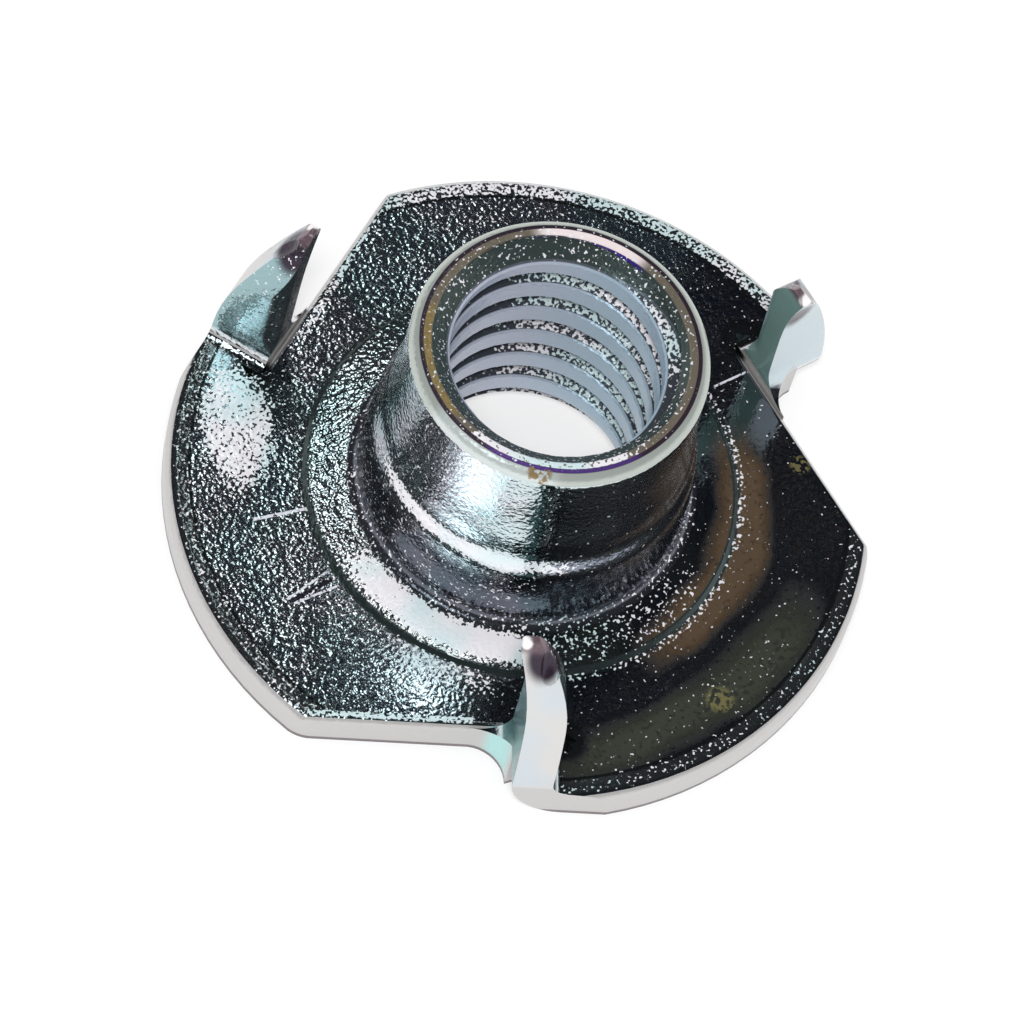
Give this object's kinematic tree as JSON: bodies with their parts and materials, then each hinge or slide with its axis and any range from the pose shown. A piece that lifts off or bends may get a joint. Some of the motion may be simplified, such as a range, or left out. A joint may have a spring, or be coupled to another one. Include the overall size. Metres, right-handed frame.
{
  "type": "tee nut",
  "caption": "Pressed steel tee nut: a threaded barrel on a round flange, with prongs bent up from the flange to bite into wood.",
  "frame": {"origin": "on the thread's axis, in the plane of the flange's back face", "axes": "+Z along the barrel, from the flange to the mouth; +X through the middle of one of the straight cuts in the flange"},
  "size_m": [0.0219, 0.022, 0.0095],
  "materials": {
    "zinc_steel": "zinc plated, blue bright with faint yellow and teal tints, stamped surface"
  },
  "bodies": {
    "root": {"tee_nut": "zinc_steel"}
  },
  "joints": []
}
